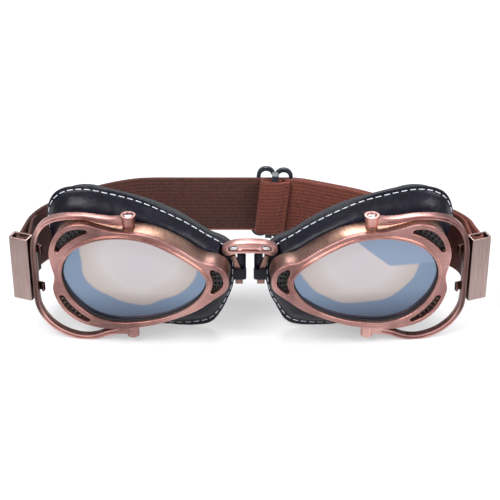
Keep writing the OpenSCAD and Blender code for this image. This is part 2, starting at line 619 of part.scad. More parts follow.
// Distance by which the flap stands back behind the nose
flap_push = 1.2;
function inner_ring(inset, y, draw = 0, slope = 0) = [for (p = grow(wall_ring, -inset)) let (n = nose_share(p))
    [p.x + draw * n * 0.96 * max(0, recess_x + inset - p.x), y + slope * p.x, p.y]];
flap_y = pad_back - 4.2;
module face_pad(side) at_cup(side) color(leather) tube([
    inner_ring(pad_inner, wall_back, 1),
    pad_ring(0, wall_back, 1),
    pad_ring(0.24, wall_back + 0.5, 1),
    pad_ring(0.48, wall_back + 2, 1),
    pad_ring(0.68, wall_back + 4.2, 1),
    pad_ring(0.8, flap_y - 0.3, 1),
    pad_ring(1, flap_y),
    pad_ring(1, flap_y + 0.9),
    pad_ring(0.86, flap_y + 1.3),
    pad_ring(0.72, pad_back, 0, face_slope),
    inner_ring(pad_inner, pad_back, 0, face_slope)]);

// Face foam: the soft ring that rests on the face
module face_foam(side) at_cup(side) color("#3A3B40") tube([
    inner_ring(pad_inner, pad_back + soft_clear, 0, face_slope),
    pad_ring(0.62, pad_back + soft_clear, 0, face_slope),
    pad_ring(0.64, pad_back + 0.4 * foam_depth, 0, face_slope),
    pad_ring(0.45, pad_back + 0.85 * foam_depth, 0, face_slope),
    pad_ring(0.15, pad_back + foam_depth, 0, face_slope),
    inner_ring(0.6 * pad_inner, pad_back + 0.9 * foam_depth, 0, face_slope),
    inner_ring(pad_inner + 0.4, pad_back + 0.5 * foam_depth, 0, face_slope)]);

bezel(-1);  // bezel_left
bezel(1);  // bezel_right
cup_wall(-1);  // cup_left
cup_wall(1);  // cup_right
lens(-1);  // lens_left
lens(1);  // lens_right
gasket(-1);  // gasket_left
gasket(1);  // gasket_right
vent_screen(-1);  // vent_screen_left
vent_screen(1);  // vent_screen_right
pivot_screws(-1);  // pivot_screws_left
pivot_screws(1);  // pivot_screws_right
bail(-1);  // bail_left
bail(1);  // bail_right
clasp(-1);  // clasp_left
clasp(1);  // clasp_right
face_pad(-1);  // face_pad_left
face_pad(1);  // face_pad_right
face_foam(-1);  // face_foam_left
face_foam(1);  // face_foam_right
nose_bar(-1);  // nose_bar_left
nose_bar(1);  // nose_bar_right
nose_hinge(-1);  // nose_hinge_left
nose_hinge(1);  // nose_hinge_right
nose_loop(-1);  // nose_loop_left
nose_loop(1);  // nose_loop_right
bridge_link();
bridge_pins();
strap_left();
strap_right();
strap_sewn_end();
strap_slider();
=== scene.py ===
import bpy
import math
from mathutils import Vector, Matrix
from mathutils.bvhtree import BVHTree


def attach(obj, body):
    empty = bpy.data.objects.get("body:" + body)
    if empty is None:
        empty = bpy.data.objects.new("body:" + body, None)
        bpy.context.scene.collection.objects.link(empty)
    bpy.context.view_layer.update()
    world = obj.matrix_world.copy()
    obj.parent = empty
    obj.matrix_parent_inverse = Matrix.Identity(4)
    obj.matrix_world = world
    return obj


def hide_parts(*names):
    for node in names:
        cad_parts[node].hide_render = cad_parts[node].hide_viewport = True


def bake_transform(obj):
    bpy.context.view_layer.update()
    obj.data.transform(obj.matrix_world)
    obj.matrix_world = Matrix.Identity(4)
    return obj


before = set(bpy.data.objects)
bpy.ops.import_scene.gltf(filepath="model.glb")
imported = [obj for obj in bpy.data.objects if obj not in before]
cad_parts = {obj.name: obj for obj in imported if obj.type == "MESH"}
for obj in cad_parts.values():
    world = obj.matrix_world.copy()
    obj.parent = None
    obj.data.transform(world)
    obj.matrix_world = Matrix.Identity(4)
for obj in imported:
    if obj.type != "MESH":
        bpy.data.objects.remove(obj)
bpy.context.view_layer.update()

# ---- Camera
# It stands in front of the goggles and looks down on them by 31 degrees, with the whole
# strap in view.
bpy.ops.object.camera_add(location=(0, -0.5203, 0.340), rotation=(math.radians(59), 0, 0))
camera = bpy.context.object
camera.data.sensor_width = 36
camera.data.lens = 107.6
bpy.context.scene.camera = camera

# ---- Front plates
# Die-cast zinc, plated with copper, darkened and wiped. Its rounded edges get a brighter,
# glossier copper as painted highlight.
# Each plate is one casting with a raised lip round the lens and three crescent vents.


def linear(hex_colour):
    parts = [int(hex_colour[i:i + 2], 16) / 255 for i in (1, 3, 5)]
    return [p / 12.92 if p <= 0.04045 else ((p + 0.055) / 1.055) ** 2.4 for p in parts] + [1]


# Sets inputs of a node or a shader, each to a value or to a link.
def plug(tree, node, inputs):
    for key, value in inputs.items():
        if isinstance(value, bpy.types.NodeSocket):
            tree.links.new(value, node.inputs[key])
        else:
            node.inputs[key].default_value = value


# The stops are the places and colours of a colour ramp.
def add(tree, kind, settings=None, inputs=None, stops=()):
    node = tree.nodes.new(kind)
    for key, value in (settings or {}).items():
        setattr(node, key, value)
    plug(tree, node, inputs or {})
    if stops:
        elements = node.color_ramp.elements
        elements[0].position, elements[0].color = stops[0][0], linear(stops[0][1])
        elements[1].position, elements[1].color = stops[-1][0], linear(stops[-1][1])
        for place, colour in stops[1:-1]:
            elements.new(place).color = linear(colour)
    return node


# A Mix node of colours has its two colours and its result at these numbers.
mix_a, mix_b, mix_result = 6, 7, 2


def new_material(name):
    material = bpy.data.materials.new(name)
    material.use_nodes = True
    return material, material.node_tree, material.node_tree.nodes["Principled BSDF"]


def deselect():
    if bpy.context.mode != "OBJECT":
        bpy.ops.object.mode_set(mode="OBJECT")
    bpy.ops.object.select_all(action="DESELECT")


def pick(piece):
    deselect()
    piece.select_set(True)
    bpy.context.view_layer.objects.active = piece


# A copy of a CAD node's mesh, merged, with its sharp edges rounded by corner metres. The
# faces of the rounding get material slot edge.
def cast_copy(node, name, corner, angle=30, segments=2, edge=0, flatten=True):
    piece = bpy.data.objects.new(name, bpy.data.objects[node].data.copy())
    piece.data.materials.clear()
    for _ in range(3):
        piece.data.materials.append(None)
    bpy.context.scene.collection.objects.link(piece)
    pick(piece)
    bpy.ops.object.mode_set(mode="EDIT")
    bpy.ops.mesh.select_all(action="SELECT")
    bpy.ops.mesh.remove_doubles(threshold=0.00001)
    if flatten:
        bpy.ops.mesh.dissolve_limited(angle_limit=math.radians(0.5))
    bpy.ops.object.mode_set(mode="OBJECT")
    if corner:
        bevel = piece.modifiers.new("corner", "BEVEL")
        bevel.width, bevel.segments = corner, segments
        bevel.limit_method, bevel.angle_limit = "ANGLE", math.radians(angle)
        bevel.use_clamp_overlap = True
        bevel.material = edge
        bpy.ops.object.modifier_apply(modifier="corner")
    bpy.ops.object.shade_smooth_by_angle(angle=math.radians(38))
    return piece


def finish_with(piece, *materials):
    slots = [polygon.material_index for polygon in piece.data.polygons]
    piece.data.materials.clear()
    for material in materials:
        piece.data.materials.append(material)
    if len(materials) > 1:
        piece.data.polygons.foreach_set("material_index", slots)


def dress(piece, materials, body, *nodes):
    finish_with(piece, *materials)
    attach(piece, body)
    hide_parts(*nodes)


# Antique copper plate: the darkening stays in cloudy patches about 18 mm wide, and the
# wiping leaves a fine grain. Real wiping marks are finer than the 0.3 mm drawn here.
def antique_copper(name, light, middle, dark, rough):
    patch_mm, mark_mm, mark_length_mm = 18.2, 0.3125, 4.17
    material, tree, shader = new_material(name)
    place = add(tree, "ShaderNodeTexCoord").outputs["Object"]
    cloud = add(tree, "ShaderNodeTexNoise", inputs={
        "Vector": place, "Scale": 1000 / patch_mm, "Detail": 3.0, "Roughness": 0.5})
    stretch = add(tree, "ShaderNodeMapping", inputs={
        "Vector": place, "Scale": (1000 / mark_length_mm, 1000 / mark_length_mm, 1000 / mark_mm)})
    grain = add(tree, "ShaderNodeTexNoise", inputs={
        "Vector": stretch.outputs["Vector"], "Scale": 1.0, "Detail": 2.0})
    mixed = add(tree, "ShaderNodeMath", {"operation": "MULTIPLY_ADD"}, {
        0: grain.outputs["Fac"], 1: 0.28, 2: cloud.outputs["Fac"]})
    worn = add(tree, "ShaderNodeMath", {"operation": "SUBTRACT"}, {0: mixed.outputs["Value"], 1: 0.14})
    colour = add(tree, "ShaderNodeValToRGB", inputs={"Fac": worn.outputs["Value"]},
                 stops=[(0.3, dark), (0.5, middle), (0.72, light)])
    roughness = add(tree, "ShaderNodeMapRange", inputs={
        "Value": grain.outputs["Fac"], "To Min": rough - 0.06, "To Max": rough + 0.08})
    bump = add(tree, "ShaderNodeBump", inputs={
        "Strength": 0.12, "Distance": 0.00008, "Height": grain.outputs["Fac"]})
    plug(tree, shader, {
        "Base Color": colour.outputs["Color"], "Metallic": 0.9,
        "Roughness": roughness.outputs["Result"], "Normal": bump.outputs["Normal"]})
    return material


plate_copper = antique_copper("wiped_antique_copper", "#BE918A", "#A07672", "#745450", 0.42)
# Painted highlight: the rounded edges of the castings get this brighter, glossier copper.
edge_highlight_copper = antique_copper("painted_edge_highlight", "#DDB0A4", "#C38C7E", "#96645A", 0.3)
for side in ("left", "right"):
    plate = cast_copy("bezel_" + side, "front_plate_" + side, corner=0.0005, segments=3, edge=1)
    dress(plate, (plate_copper, edge_highlight_copper), "cup_" + side, "bezel_" + side)

# ---- Cup walls
# The same casting alloy, in a lighter, browner copper than the plates.
# The pivot bosses stand on top and below.
wall_copper = antique_copper("light_copper_with_painted_nose_reflection", "#DDB79D", "#B08572", "#5E4036", 0.34)
tree, shader = wall_copper.node_tree, wall_copper.node_tree.nodes["Principled BSDF"]
light = shader.inputs["Base Color"].links[0].from_socket
place = add(tree, "ShaderNodeTexCoord").outputs["Object"]
axes = add(tree, "ShaderNodeSeparateXYZ", inputs={"Vector": place})
out = add(tree, "ShaderNodeMath", {"operation": "ABSOLUTE"}, {0: axes.outputs["X"]})
# Painted dark reflection: darker towards the nose, where the wall's top mirrors the dark leather close by.
nose = add(tree, "ShaderNodeMapRange", inputs={
    "Value": out.outputs["Value"], "From Min": 0.014, "From Max": 0.036, "To Min": 0.85, "To Max": 0.0})
dull = add(tree, "ShaderNodeMix", {"data_type": "RGBA"}, {
    "Factor": nose.outputs["Result"], mix_a: light, mix_b: linear("#80625A")})
plug(tree, shader, {"Base Color": dull.outputs[mix_result]})
for side in ("left", "right"):
    wall = cast_copy("cup_" + side, "cup_wall_" + side, corner=0.00015)
    dress(wall, (wall_copper,), "cup_" + side, "cup_" + side)

# ---- Gaskets
# A flat ring of moulded nitrile rubber, clamped between front plate and lens. It is matt
# with a faint moulded grain and shows as a thin black line round the lens.
rubber, tree, shader = new_material("moulded_rubber")
grain_mm = 0.4
place = add(tree, "ShaderNodeTexCoord").outputs["Object"]
fine = add(tree, "ShaderNodeTexNoise", inputs={"Vector": place, "Scale": 1000 / grain_mm})
colour = add(tree, "ShaderNodeValToRGB", inputs={"Fac": fine.outputs["Fac"]},
             stops=[(0.3, "#0D0E11"), (0.7, "#1B1D22")])
bump = add(tree, "ShaderNodeBump", inputs={
    "Strength": 0.2, "Distance": 0.00005, "Height": fine.outputs["Fac"]})
plug(tree, shader, {
    "Base Color": colour.outputs["Color"], "Roughness": 0.6, "Normal": bump.outputs["Normal"]})
for side in ("left", "right"):
    gasket = cast_copy("gasket_" + side, "lens_gasket_" + side, corner=0.0002)
    dress(gasket, (rubber,), "cup_" + side, "gasket_" + side)

# ---- Vent screens
# Thin steel sheet, punched and pressed in behind each vent slot. Its black paint is a
# little glossy and specked, so that the sheet stands out from its holes.
screen_paint, tree, shader = new_material("black_painted_steel")
speck_mm = 1.11
place = add(tree, "ShaderNodeTexCoord").outputs["Object"]
speck = add(tree, "ShaderNodeTexNoise", inputs={"Vector": place, "Scale": 1000 / speck_mm})
colour = add(tree, "ShaderNodeValToRGB", inputs={"Fac": speck.outputs["Fac"]},
             stops=[(0.35, "#08080A"), (0.7, "#141316")])
plug(tree, shader, {"Base Color": colour.outputs["Color"], "Roughness": 0.45})
for side in ("left", "right"):
    screen = cast_copy("vent_screen_" + side, "screen_" + side, corner=0.00008)
    dress(screen, (screen_paint,), "cup_" + side, "vent_screen_" + side)

# ---- Lenses
# Dished polycarbonate with a silver flash coating. Its colour is painted reflection: warm and
# pale in the middle, turning blue-grey towards the temple and the lower edge.
flash, tree, shader = new_material("silver_flash_with_painted_reflections")
wave_mm = 16.7
place = add(tree, "ShaderNodeTexCoord").outputs["Object"]
axes = add(tree, "ShaderNodeSeparateXYZ", inputs={"Vector": place})
out = add(tree, "ShaderNodeMath", {"operation": "ABSOLUTE"}, {0: axes.outputs["X"]})
# The pale field, a painted soft-box reflection, is an oval about 48 mm wide and 41 mm high
# with a wavy edge, centred high and towards the nose.
field_x, field_z, field_half_width, field_half_height = 0.0426, 0.0396, 0.0279, 0.0226
across = add(tree, "ShaderNodeMapRange", {"clamp": False}, {
    "Value": out.outputs["Value"], "From Min": field_x, "From Max": field_x + field_half_width})
up = add(tree, "ShaderNodeMapRange", {"clamp": False}, {
    "Value": axes.outputs["Z"], "From Min": field_z, "From Max": field_z + field_half_height})
oval = add(tree, "ShaderNodeCombineXYZ", inputs={
    "X": across.outputs["Result"], "Y": up.outputs["Result"]})
reach = add(tree, "ShaderNodeVectorMath", {"operation": "LENGTH"}, {0: oval.outputs["Vector"]})
wave = add(tree, "ShaderNodeTexNoise", inputs={
    "Vector": place, "Scale": 1000 / wave_mm, "Detail": 1.0})
field = add(tree, "ShaderNodeMath", {"operation": "MULTIPLY_ADD"}, {
    0: wave.outputs["Fac"], 1: 0.22, 2: reach.outputs["Value"]})
painted_reflection_tint = add(tree, "ShaderNodeValToRGB", inputs={"Fac": field.outputs["Value"]},
           stops=[(0.0, "#B9B2B5"), (0.6, "#BEB6B6"), (0.93, "#B0A49E"), (0.965, "#74859B")])
# Painted reflection: it darkens over the lowest 15 mm.
depth = add(tree, "ShaderNodeMapRange", inputs={
    "Value": axes.outputs["Z"], "From Min": 0.0115, "From Max": 0.026})
painted_low_darkening = add(tree, "ShaderNodeValToRGB", inputs={"Fac": depth.outputs["Result"]},
          stops=[(0.0, "#8A868C"), (0.5, "#CFD0D4"), (1.0, "#FFFFFF")])
both = add(tree, "ShaderNodeMix", {"data_type": "RGBA", "blend_type": "MULTIPLY"}, {
    "Factor": 1.0, mix_a: painted_reflection_tint.outputs["Color"], mix_b: painted_low_darkening.outputs["Color"]})
# Painted reflection: the right lens has a second blue-grey area, angular, at the top of its temple side.
slant_slope, slant_edge, level_edge, edge_blur = 0.84, 0.0822, 0.0368, 0.0008
slant = add(tree, "ShaderNodeMath", {"operation": "MULTIPLY_ADD"}, {
    0: axes.outputs["X"], 1: slant_slope, 2: axes.outputs["Z"]})
beyond = add(tree, "ShaderNodeMapRange", inputs={
    "Value": slant.outputs["Value"], "From Min": slant_edge, "From Max": slant_edge + edge_blur})
above = add(tree, "ShaderNodeMapRange", inputs={
    "Value": axes.outputs["Z"], "From Min": level_edge, "From Max": level_edge + edge_blur})
corner = add(tree, "ShaderNodeMath", {"operation": "MULTIPLY"}, {
    0: beyond.outputs["Result"], 1: above.outputs["Result"]})
painted_blue_corner = add(tree, "ShaderNodeMix", {"data_type": "RGBA"}, {
    "Factor": corner.outputs["Value"], mix_a: both.outputs[mix_result], mix_b: linear("#8391A6")})
plug(tree, shader, {
    "Base Color": painted_blue_corner.outputs[mix_result], "Metallic": 0.85, "Roughness": 0.07,
    "Coat Weight": 0.3, "Coat Roughness": 0.03})
for side in ("left", "right"):
    lens = cast_copy("lens_" + side, "dished_lens_" + side, corner=0)
    bpy.ops.object.shade_smooth_by_angle(angle=math.radians(60))
    dress(lens, (flash,), "cup_" + side, "lens_" + side)

# ---- Bails
# Cast copper bars with a groove along the front, swung on a screw through each barrel.
# The upright side is drawn dark brown as painted shade, where it faces away from the light.
bail_copper = antique_copper("bright_copper", "#DDAEA6", "#BC8B85", "#7C5A56", 0.34)
bail_with_painted_shade = bail_copper.copy()
bail_with_painted_shade.name = "bright_copper_with_painted_shade"
tree, shader = bail_with_painted_shade.node_tree, bail_with_painted_shade.node_tree.nodes["Principled BSDF"]
unshaded_colour = shader.inputs["Base Color"].links[0].from_socket
place = add(tree, "ShaderNodeTexCoord").outputs["Object"]
axes = add(tree, "ShaderNodeSeparateXYZ", inputs={"Vector": place})
out = add(tree, "ShaderNodeMath", {"operation": "ABSOLUTE"}, {0: axes.outputs["X"]})
# Painted shade: the upright side, beyond 81.5 mm from the middle, is mixed towards dark brown.
dark = add(tree, "ShaderNodeMapRange", inputs={
    "Value": out.outputs["Value"], "From Min": 0.0815, "From Max": 0.084, "To Max": 0.8})
painted_shade_mix = add(tree, "ShaderNodeMix", {"data_type": "RGBA"}, {
    "Factor": dark.outputs["Result"], mix_a: unshaded_colour, mix_b: linear("#3C2E2B")})
plug(tree, shader, {"Base Color": painted_shade_mix.outputs[mix_result]})
for side in ("left", "right"):
    bail = cast_copy("bail_" + side, "swing_bail_" + side, corner=0.0005, segments=3)
    dress(bail, (bail_with_painted_shade,), "strap_bail_" + side, "bail_" + side)

# ---- Pivot screws, hinge knuckles and bridge pins
# Turned steel, nickel-plated and bright, with slotted heads. The screws hold the bails on
# the cups and the pins hold the bridge link in the knuckles.
nickel, tree, shader = new_material("bright_nickel")
tool_mark_mm = 0.714
place = add(tree, "ShaderNodeTexCoord").outputs["Object"]
turned = add(tree, "ShaderNodeTexNoise", inputs={
    "Vector": place, "Scale": 1000 / tool_mark_mm, "Detail": 2.0})
colour = add(tree, "ShaderNodeValToRGB", inputs={"Fac": turned.outputs["Fac"]},
             stops=[(0.3, "#B9BCC2"), (0.7, "#E4E6EA")])
plug(tree, shader, {"Base Color": colour.outputs["Color"], "Metallic": 1.0, "Roughness": 0.2})
for side in ("left", "right"):
    screws = cast_copy("pivot_screws_" + side, "shoulder_screws_" + side, corner=0.0001)
    dress(screws, (nickel,), "cup_" + side, "pivot_screws_" + side)
    knuckle = cast_copy("nose_hinge_" + side, "hinge_knuckle_" + side, corner=0.00012)
    dress(knuckle, (nickel,), "cup_" + side, "nose_hinge_" + side)
pins = cast_copy("bridge_pins", "link_pins", corner=0.0001)
dress(pins, (nickel,), "bridge", "bridge_pins")

# ---- Clasps
# Folded brass sheet, hooked round the bail's upright side, with a brighter copper on its rounded
# edges as painted highlight. Its plate is pinkish grey and brushed up and down, and the brushing
# streaks its gloss.
clasp_plate, tree, shader = new_material("brushed_plate")
brush_mm, brush_length_mm = 0.1923, 11.1
place = add(tree, "ShaderNodeTexCoord").outputs["Object"]
stretch = add(tree, "ShaderNodeMapping", inputs={
    "Vector": place, "Scale": (1000 / brush_mm, 1000 / brush_mm, 1000 / brush_length_mm)})
brush = add(tree, "ShaderNodeTexNoise", inputs={
    "Vector": stretch.outputs["Vector"], "Scale": 1.0, "Detail": 3.0})
colour = add(tree, "ShaderNodeValToRGB", inputs={"Fac": brush.outputs["Fac"]},
             stops=[(0.25, "#87726D"), (0.5, "#99837E"), (0.8, "#AF9894")])
bump = add(tree, "ShaderNodeBump", inputs={
    "Strength": 0.15, "Distance": 0.00005, "Height": brush.outputs["Fac"]})
plug(tree, shader, {
    "Base Color": colour.outputs["Color"], "Metallic": 0.9, "Roughness": 0.33,
    "Normal": bump.outputs["Normal"]})
# The sides and the hooks get a dark copper as painted shade, where they face away from the light.
side_shade_copper = antique_copper("painted_side_shade", "#6B4C45", "#44312D", "#2C211F", 0.4)
hooks_end_x, sideways = 0.0845, 0.8
for side in ("left", "right"):
    clasp = cast_copy("clasp_" + side, "strap_clasp_" + side, corner=0.0003, edge=1)
    for face in clasp.data.polygons:
        # Painted shade on the faces turned sideways and on the hooks.
        on_side = abs(face.normal.x) > sideways or abs(face.center.x) < hooks_end_x
        if face.material_index == 0 and on_side:
            face.material_index = 2
    dress(clasp, (clasp_plate, edge_highlight_copper, side_shade_copper), "strap_clasp_" + side, "clasp_" + side)

# ---- Bridge link and nose bars
# The link is a small arched casting, with a brighter copper on its rounded edges as painted
# highlight. The nose bars are pressed from copper strip, riveted to the knuckles and held in the
# leather loops.
link = cast_copy("bridge_link", "arched_link", corner=0.0005, segments=3, edge=1)
dress(link, (bail_copper, edge_highlight_copper), "bridge", "bridge_link")
for side in ("left", "right"):
    # The nose bars share the wall's copper, with its painted dark reflection towards the nose.
    nose_bar = cast_copy("nose_bar_" + side, "pressed_bar_" + side, corner=0.00015)
    dress(nose_bar, (wall_copper,), "cup_" + side, "nose_bar_" + side)

# ---- Face pads
# Black leather, turned and stitched over foam, with a raw seam flap round the edge.
# The stitches are white waxed thread, about seven to the inch.

# Full-grain leather: a pebbled grain and wider creases that catch soft highlights. Real
# pebbles are about half as wide as drawn.
leather, tree, shader = new_material("black_full_grain_leather")
pebble_mm, crease_mm = 0.769, 5.26
place = add(tree, "ShaderNodeTexCoord").outputs["Object"]
pebble = add(tree, "ShaderNodeTexVoronoi", inputs={"Vector": place, "Scale": 1000 / pebble_mm})
crease = add(tree, "ShaderNodeTexNoise", inputs={
    "Vector": place, "Scale": 1000 / crease_mm, "Detail": 4.0})
grain = add(tree, "ShaderNodeMath", {"operation": "MULTIPLY_ADD"}, {
    0: crease.outputs["Fac"], 1: 1.4, 2: pebble.outputs["Distance"]})
colour = add(tree, "ShaderNodeValToRGB", inputs={"Fac": crease.outputs["Fac"]},
             stops=[(0.3, "#100F17"), (0.6, "#171621"), (0.8, "#242230")])
bump = add(tree, "ShaderNodeBump", inputs={
    "Strength": 0.35, "Distance": 0.00015, "Height": grain.outputs["Value"]})
plug(tree, shader, {
    "Base Color": colour.outputs["Color"], "Roughness": 0.36, "Specular IOR Level": 0.18,
    "Normal": bump.outputs["Normal"]})

# Waxed thread: slightly glossy, with faint twists of its plies.
thread, tree, shader = new_material("white_waxed_thread")
ply_mm = 0.3333
place = add(tree, "ShaderNodeTexCoord").outputs["Object"]
ply = add(tree, "ShaderNodeTexNoise", inputs={"Vector": place, "Scale": 1000 / ply_mm})
colour = add(tree, "ShaderNodeValToRGB", inputs={"Fac": ply.outputs["Fac"]},
             stops=[(0.3, "#B9BEC9"), (0.7, "#E6E9EF")])
plug(tree, shader, {"Base Color": colour.outputs["Color"], "Roughness": 0.55})


# A soft piece: the CAD node's form, rolled over by subdivision, with shallow wrinkles.
def soft_copy(node, name, wrinkle_depth, wrinkle_size, levels=2):
    piece = cast_copy(node, name, corner=0, flatten=False)
    bpy.ops.object.mode_set(mode="EDIT")
    bpy.ops.mesh.select_all(action="SELECT")
    bpy.ops.mesh.tris_convert_to_quads(face_threshold=math.radians(60), shape_threshold=math.radians(60))
    bpy.ops.object.mode_set(mode="OBJECT")
    smooth = piece.modifiers.new("roll", "SUBSURF")
    smooth.levels = smooth.render_levels = levels
    bpy.ops.object.modifier_apply(modifier="roll")
    clouds = bpy.data.textures.new(name + "_wrinkles", "CLOUDS")
    clouds.noise_scale = wrinkle_size
    push = piece.modifiers.new("wrinkles", "DISPLACE")
    push.texture, push.texture_coords = clouds, "LOCAL"
    push.strength, push.mid_level = wrinkle_depth, 0.5
    bpy.ops.object.modifier_apply(modifier="wrinkles")
    bpy.ops.object.shade_smooth()
    return piece


# The stitch line as seen from the front, in millimetres from a cup's pivot axis and middle
# height, and its depth behind that axis.
stitch_line = [
    (-38.9, -1.1), (-37.9, 4.6), (-34.6, 8.8), (-28.8, 11.8), (-21.5, 16.4), (-13.2, 20.7),
    (-5.9, 24.1), (0, 26.1), (5.7, 27.5), (11.6, 28.7), (18.4, 29.7), (25.9, 28.8), (31.5, 25),
    (34.1, 18.2), (33.6, 10), (32.2, 1.6), (31.8, -6.9), (30.8, -14), (27.6, -21.3), (21.3, -26.4),
    (13.2, -28.9), (5.8, -29.7), (0, -29.9), (-9.3, -29.8), (-19.6, -29.3), (-29, -27),
    (-34.4, -19.4), (-38.3, -10.3)]
stitch_depth = 12
stitch_length, stitch_gap, stitch_r = 2.4, 1.0, 0.2
# A stitch is pulled flat, and its middle lies a little above the leather.
stitch_flatness, stitch_lift = 0.75, 0.3
# Where a cup's pivot axis and middle height are in the frame, and how far the cup is turned.
pivot_x, floor_to_mid, depth_shift, cup_yaw = 46.6, 31.6, 24.674, math.radians(6)


def in_frame(u, depth, w, sign):
    x = pivot_x + u * math.cos(cup_yaw) - depth * math.sin(cup_yaw)
    y = u * math.sin(cup_yaw) + depth * math.cos(cup_yaw) - depth_shift
    return Vector((sign * x, y, w + floor_to_mid)) / 1000


# A smooth closed path through the points, with some steps between each two.
def closed_path(points, steps):
    count = len(points)
    result = []
    for i in range(count):
        a, b, c, d = (points[(i + k) % count] for k in (-1, 0, 1, 2))
        for k in range(steps):
            t = k / steps
            result.append(0.5 * (
                2 * b + (c - a) * t + (2 * a - 5 * b + 4 * c - d) * t * t
                + (3 * b - a - 3 * c + d) * t ** 3))
    return result


# One piece made of copies of a stitch, one at each place. The stitch itself goes.
def row_of(stitch, places, name):
    parts = []
    for place in places:
        mesh = stitch.data.copy()
        mesh.transform(place)
        part = bpy.data.objects.new(name, mesh)
        bpy.context.scene.collection.objects.link(part)
        parts.append(part)
    bpy.data.objects.remove(stitch)
    deselect()
    for part in parts:
        part.select_set(True)
    bpy.context.view_layer.objects.active = parts[0]
    bpy.ops.object.join()
    bpy.ops.object.shade_smooth()
    row = bpy.context.object
    row.name = name
    return row


# The places of the stitches on a pad: evenly spaced along the line, flat on the leather.
def stitch_places(pad, line):
    surface = BVHTree.FromObject(pad, bpy.context.evaluated_depsgraph_get())
    lengths = [(line[(i + 1) % len(line)] - line[i]).length for i in range(len(line))]
    around = sum(lengths)
    count = round(around / ((stitch_length + stitch_gap) / 1000))
    places = []
    for k in range(count):
        ends = []
        for reach in (-0.5, 0.5):
            target = (k * around / count + reach * stitch_length / 1000) % around
            i = 0
            while target > lengths[i]:
                target -= lengths[i]
                i = (i + 1) % len(line)
            point = line[i].lerp(line[(i + 1) % len(line)], target / lengths[i])
            ends.append(surface.find_nearest(point)[:2])
        (start, start_normal), (end, end_normal) = ends
        along = (end - start).normalized()
        out = (start_normal + end_normal).normalized()
        out = (out - along * out.dot(along)).normalized()
        turn = Matrix((along.cross(out), out, along)).transposed().to_4x4()
        middle = (start + end) / 2 + out * stitch_r * stitch_lift / 1000
        places.append(Matrix.Translation(middle) @ turn)
    return places


for side, sign in (("left", -1), ("right", 1)):
    pad = soft_copy("face_pad_" + side, "leather_pad_" + side, wrinkle_depth=0.0005, wrinkle_size=0.006)
    dress(pad, (leather,), "cup_" + side, "face_pad_" + side)
    line = closed_path([in_frame(u, stitch_depth, w, sign) for u, w in stitch_line], 8)
    places = stitch_places(pad, line)
    deselect()
    bpy.ops.mesh.primitive_uv_sphere_add(segments=8, ring_count=6, radius=stitch_r / 1000)
    stitch = bpy.context.object
    # The ball is pulled out to the length of a stitch, with its equator left in the middle.
    for v in stitch.data.vertices:
        if abs(v.co.z) > 1e-6:
            v.co.z += math.copysign((stitch_length / 2 - stitch_r) / 1000, v.co.z)
        v.co.y *= stitch_flatness
    row = row_of(stitch, places, "pad_stitches_" + side)
    row.data.materials.append(thread)
    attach(row, "cup_" + side)

# ---- Face foam
# Soft black foam with a brushed knit face, which rests on the wearer's skin. The knit is
# dull all over, with fine loops drawn 0.7 mm apart so that they show.
knit, tree, shader = new_material("black_knit_foam")
loop_mm = 0.667
place = add(tree, "ShaderNodeTexCoord").outputs["Object"]
cell = add(tree, "ShaderNodeTexVoronoi", inputs={"Vector": place, "Scale": 1000 / loop_mm})
colour = add(tree, "ShaderNodeValToRGB", inputs={"Fac": cell.outputs["Distance"]},
             stops=[(0.0, "#1C1D21"), (0.8, "#3A3B40")])
bump = add(tree, "ShaderNodeBump", inputs={
    "Strength": 0.5, "Distance": 0.0002, "Height": cell.outputs["Distance"]})
plug(tree, shader, {
    "Base Color": colour.outputs["Color"], "Roughness": 0.9, "Normal": bump.outputs["Normal"]})
for side in ("left", "right"):
    foam = soft_copy("face_foam_" + side, "foam_ring_" + side, wrinkle_depth=0.0004, wrinkle_size=0.008)
    dress(foam, (knit,), "cup_" + side, "face_foam_" + side)

# ---- Nose loops
# Strips of the pads' leather, each folded round a nose bar and sewn behind it, so that the
# cups can fold a little at the nose.
for side in ("left", "right"):
    loop = cast_copy("nose_loop_" + side, "leather_loop_" + side, corner=0.00022)
    dress(loop, (leather,), "cup_" + side, "nose_loop_" + side)

# ---- Strap
# Woven elastic, 25 mm wide, with fine ribs along its length. Its right end comes back
# inside as a second layer, is folded round the slider's middle bar and sewn.


# Woven elastic: dull, ribbed and fuzzy with short yarns. The ribs are drawn a little coarser
# than real ones so that they show.
def elastic(name, light, middle, dark):
    rib_mm, yarn_mm = 1.6, 0.667
    material, tree, shader = new_material(name)
    place = add(tree, "ShaderNodeTexCoord").outputs["Object"]
    height = add(tree, "ShaderNodeSeparateXYZ", inputs={"Vector": place}).outputs["Z"]
    phase = add(tree, "ShaderNodeMath", {"operation": "MULTIPLY"}, {0: height, 1: 2000 * math.pi / rib_mm})
    rib = add(tree, "ShaderNodeMath", {"operation": "SINE"}, {0: phase.outputs["Value"]})
    yarn = add(tree, "ShaderNodeTexNoise", inputs={
        "Vector": place, "Scale": 1000 / yarn_mm, "Detail": 2.0})
    mixed = add(tree, "ShaderNodeMath", {"operation": "MULTIPLY_ADD"}, {
        0: rib.outputs["Value"], 1: 0.14, 2: yarn.outputs["Fac"]})
    colour = add(tree, "ShaderNodeValToRGB", inputs={"Fac": mixed.outputs["Value"]},
                 stops=[(0.2, dark), (0.5, middle), (0.8, light)])
    bump = add(tree, "ShaderNodeBump", inputs={
        "Strength": 0.5, "Distance": 0.0002, "Height": mixed.outputs["Value"]})
    plug(tree, shader, {
        "Base Color": colour.outputs["Color"], "Roughness": 0.8, "Sheen Weight": 0.04,
        "Normal": bump.outputs["Normal"]})
    return material


web = elastic("brown_woven_elastic", "#5E3024", "#46221A", "#2C140F")
